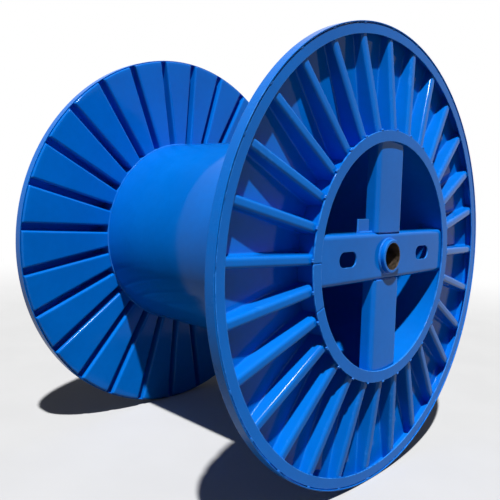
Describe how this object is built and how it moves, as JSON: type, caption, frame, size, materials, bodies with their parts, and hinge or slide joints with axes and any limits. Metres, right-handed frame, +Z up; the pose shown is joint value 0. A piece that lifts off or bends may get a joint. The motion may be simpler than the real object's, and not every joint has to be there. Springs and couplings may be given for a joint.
{
  "type": "cable drum",
  "caption": "Steel cable drum: smooth barrel between corrugated sheet flanges with rolled hoops, folded cross arms and a tubular spindle hub.",
  "frame": {"origin": "on the floor below the middle of the drum axis, between the points where the two hoops rest", "axes": "+Y along the drum axis toward the back flange, +X right seen from the front flange, +Z up"},
  "size_m": [1.4, 1.076, 1.4],
  "materials": {
    "blue_enamel": "glossy bright blue enamel",
    "hub_steel": "turned steel bore, browned, outside painted"
  },
  "bodies": {
    "root": {"barrel": "blue_enamel", "disc_front": "blue_enamel", "disc_back": "blue_enamel", "hoop_front": "blue_enamel", "hoop_back": "blue_enamel", "face_ring_front": "blue_enamel", "face_ring_back": "blue_enamel", "inner_ring_front": "blue_enamel", "inner_ring_back": "blue_enamel", "bar_front": "blue_enamel", "bar_back": "blue_enamel", "upper_arm_front": "blue_enamel", "upper_arm_back": "blue_enamel", "lower_arm_front": "blue_enamel", "lower_arm_back": "blue_enamel", "hub_front": "hub_steel", "hub_back": "hub_steel", "lug_front": "blue_enamel"}
  },
  "joints": []
}
